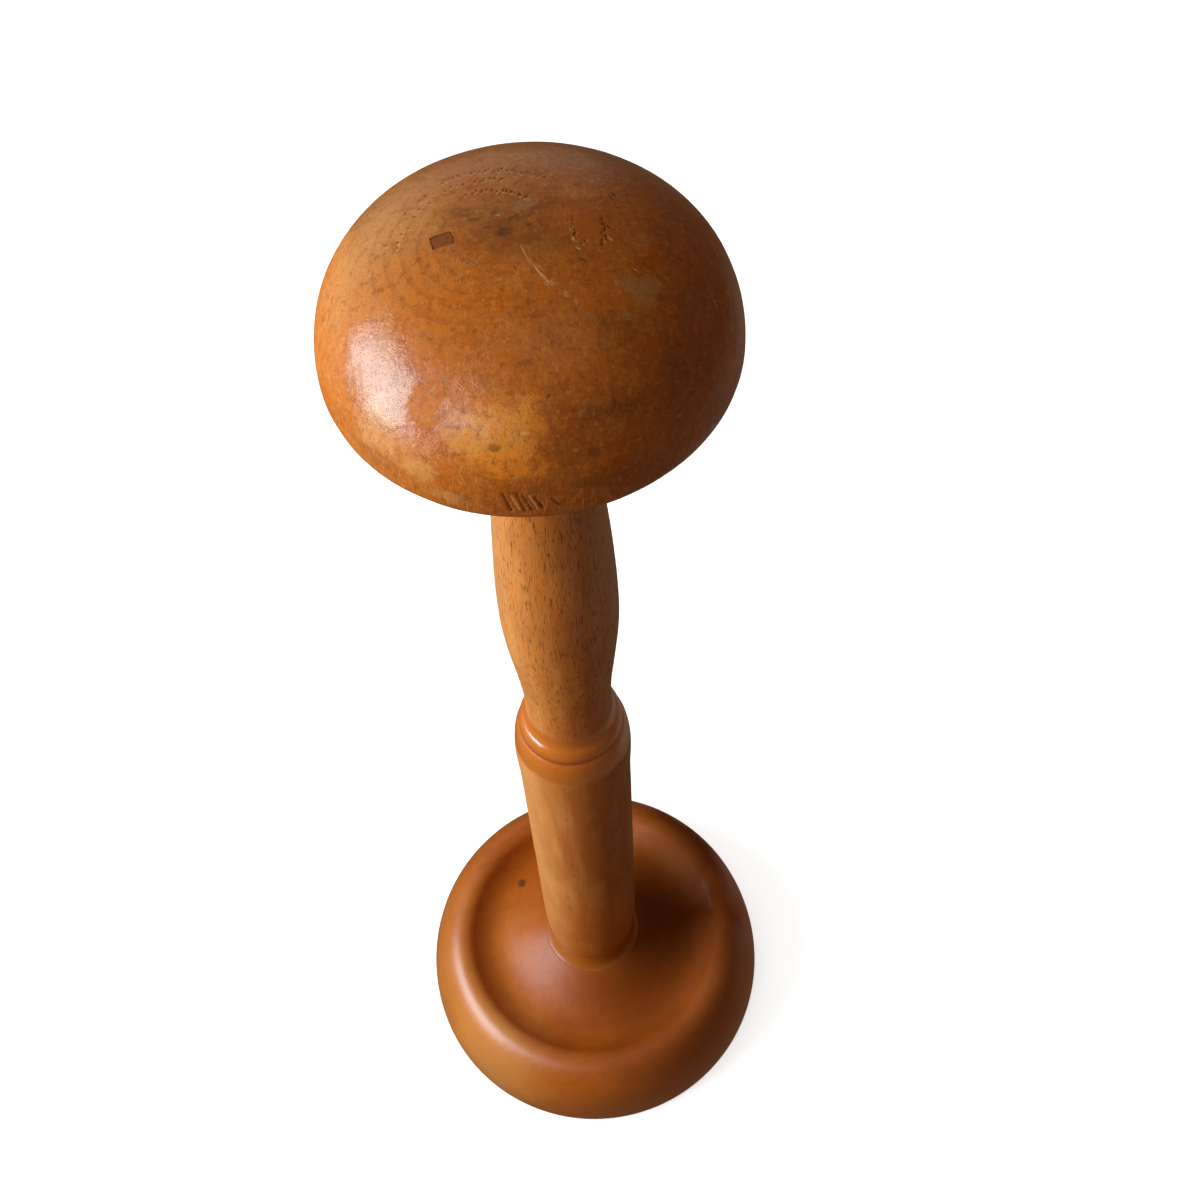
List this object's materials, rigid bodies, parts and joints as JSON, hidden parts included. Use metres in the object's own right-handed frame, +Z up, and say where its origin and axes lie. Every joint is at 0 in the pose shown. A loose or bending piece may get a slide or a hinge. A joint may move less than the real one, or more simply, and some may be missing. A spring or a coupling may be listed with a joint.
{
  "type": "wooden hat stand",
  "caption": "Turned wooden hat stand: a mushroom head on a slim collared spindle, standing on a thick round dished base.",
  "frame": {"origin": "centre of the face that the stand rests on", "axes": "+Z up along the turning axis; the picture looks along +Y from the front, with +X to its right"},
  "size_m": [0.14, 0.14, 0.4402],
  "materials": {
    "base_wood": "glossy honey-brown shellac over fruitwood",
    "column_wood": "worn satin shellac over fruitwood",
    "head_wood": "polished honey-brown shellac over fruitwood",
    "dark_peg_wood": "dark stained end grain",
    "peg_wood": "polished with the head",
    "wedge_wood": "bare sawn wood"
  },
  "bodies": {
    "root": {"base": "base_wood", "column": "column_wood", "head": "head_wood", "left_crown_peg": "dark_peg_wood", "right_crown_peg": "peg_wood", "base_wedge": "wedge_wood", "head_wedge": "wedge_wood"}
  },
  "joints": []
}
